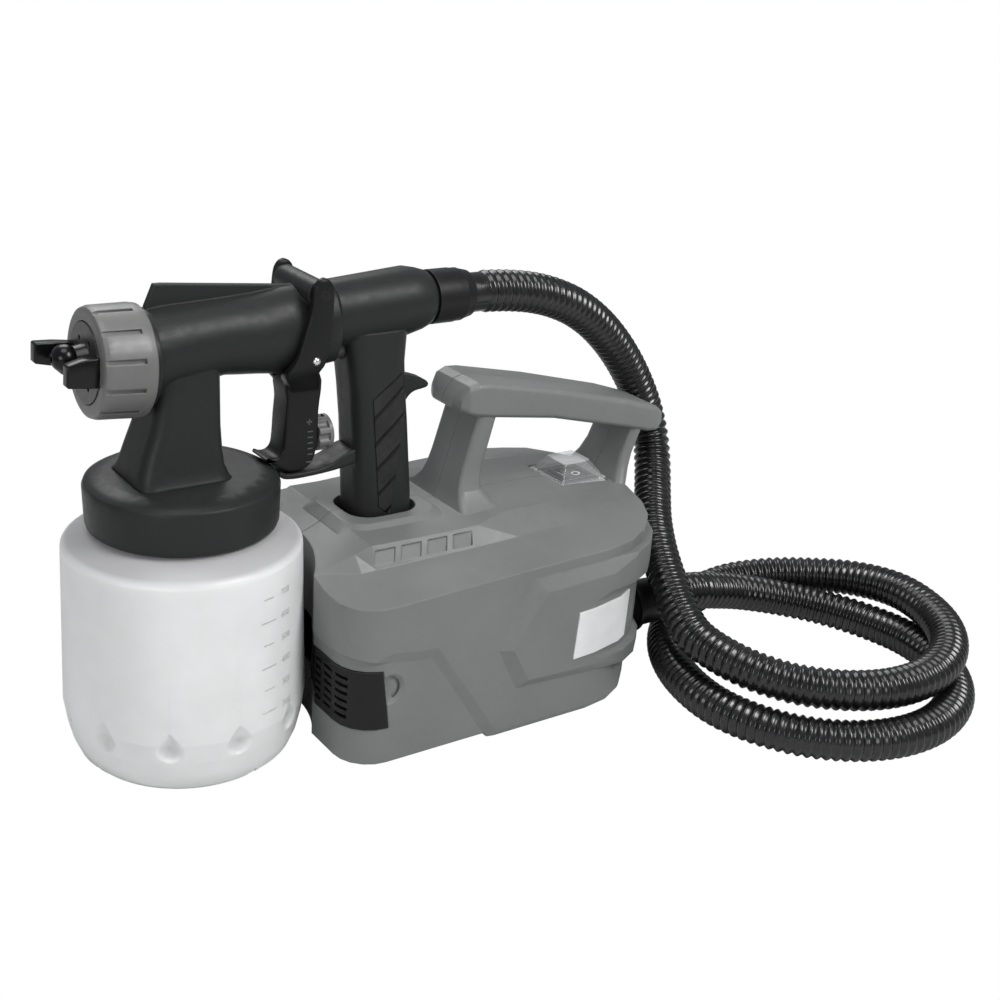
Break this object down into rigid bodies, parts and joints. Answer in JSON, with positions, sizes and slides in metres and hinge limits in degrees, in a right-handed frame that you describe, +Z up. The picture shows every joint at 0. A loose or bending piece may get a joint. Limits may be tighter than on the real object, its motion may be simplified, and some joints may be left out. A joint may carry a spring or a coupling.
{
  "type": "turbine paint sprayer",
  "caption": "Electric paint sprayer: a grey blower base with a carrying handle, a spray gun with a white cup standing in its holster, and a black ribbed air hose.",
  "frame": {"origin": "on the floor plane, below the middle of base and gun together (without the hose), in the mid-plane of gun, cup and base", "axes": "+X from the nozzle to the hose end, +Z up, +Y to the far side of the base"},
  "size_m": [0.4701, 0.2724, 0.2255],
  "materials": {
    "base_plastic": "fine moulded grain, satin",
    "gun_plastic": "fine moulded grain, satin",
    "black_plastic": "satin",
    "gloss_black": "gloss",
    "nut_grey": "satin",
    "cup_plastic": "translucent, slightly waxy",
    "tube_plastic": "satin",
    "clear_boot": "clear, soft gloss",
    "rubber": "matt",
    "foam": "open foam",
    "plate_metal": "brushed",
    "steel": "bright",
    "copper": "bare",
    "carbon": "matt"
  },
  "bodies": {
    "base": {"housing_left": "base_plastic", "housing_right": "base_plastic", "housing_screws": "steel", "feet": "rubber", "badge_plate": "plate_metal", "filter_cover": "black_plastic", "filter_foam": "foam", "switch_body": "black_plastic", "switch_boot": "clear_boot", "outlet_spigot": "black_plastic", "cord_gland": "black_plastic", "turbine_casing": "plate_metal", "motor_stator": "copper", "motor_bracket": "plate_metal", "motor_bearings": "steel", "motor_brushes": "carbon", "motor_mounts": "rubber", "hose": "gloss_black", "hose_cuff_base": "black_plastic"},
    "rotor": {"turbine_fan": "plate_metal", "rotor_shaft": "steel", "commutator": "copper"},
    "rocker_body": {"rocker": "gloss_black"},
    "gun": {"gun_barrel": "gun_plastic", "cup_lid": "gun_plastic", "gun_handle": "gun_plastic", "grip_insert": "rubber", "fluid_nozzle": "gloss_black", "spring_cap": "black_plastic", "needle_spring": "steel", "trigger_pin": "steel", "suction_tube": "tube_plastic", "hose_cuff_gun": "black_plastic", "cup_seal": "rubber"},
    "nut": {"union_nut": "nut_grey"},
    "cap": {"air_cap": "gloss_black"},
    "needle_body": {"needle": "steel", "needle_pin": "steel"},
    "trigger_body": {"trigger": "black_plastic"},
    "knob": {"flow_knob": "nut_grey"},
    "cup_body": {"cup": "cup_plastic"}
  },
  "joints": [
    {"name": "gun_lift", "type": "slide", "parent": "base", "child": "gun", "axis": [0, 0, 1], "range_m": [0, 0.11]},
    {"name": "cup_turn", "type": "hinge", "parent": "gun", "child": "cup_body", "pos_m": [-0.109, 0, 0.12], "axis": [0, 0, 1], "range_deg": [0, 90]},
    {"name": "union_nut_turn", "type": "hinge", "parent": "gun", "child": "nut", "pos_m": [-0.14, 0, 0.1934], "axis": [0.9986, 0, -0.0523], "range_deg": [0, 90]},
    {"name": "air_cap_turn", "type": "hinge", "parent": "gun", "child": "cap", "pos_m": [-0.14, 0, 0.1934], "axis": [0.9986, 0, -0.0523], "range_deg": [0, 90]},
    {"name": "trigger_pull", "type": "hinge", "parent": "gun", "child": "trigger_body", "pos_m": [-0.0495, 0, 0.2186], "axis": [0, -1, 0], "range_deg": [0, 4], "stiffness_Nm_per_rad": 6, "springref_deg": -2.86},
    {"name": "needle_travel", "type": "slide", "parent": "gun", "child": "needle_body", "axis": [0.9986, 0, -0.0523], "range_m": [0, 0.0025]},
    {"name": "flow_knob_turn", "type": "hinge", "parent": "trigger_body", "child": "knob", "pos_m": [-0.043, 0, 0.1465], "axis": [1, 0, 0], "range_deg": [0, 270]},
    {"name": "rocker_switch", "type": "hinge", "parent": "base", "child": "rocker_body", "pos_m": [0.1133, 0, 0.0982], "axis": [0, -1, 0], "range_deg": [0, 16]},
    {"name": "rotor_spin", "type": "hinge", "parent": "base", "child": "rotor", "pos_m": [0.067, 0, 0.04], "axis": [0, 0, 1], "continuous": true}
  ],
  "couplings": [
    {"joint": "needle_travel", "follows": "trigger_pull", "m_per_rad": 0.0309}
  ]
}
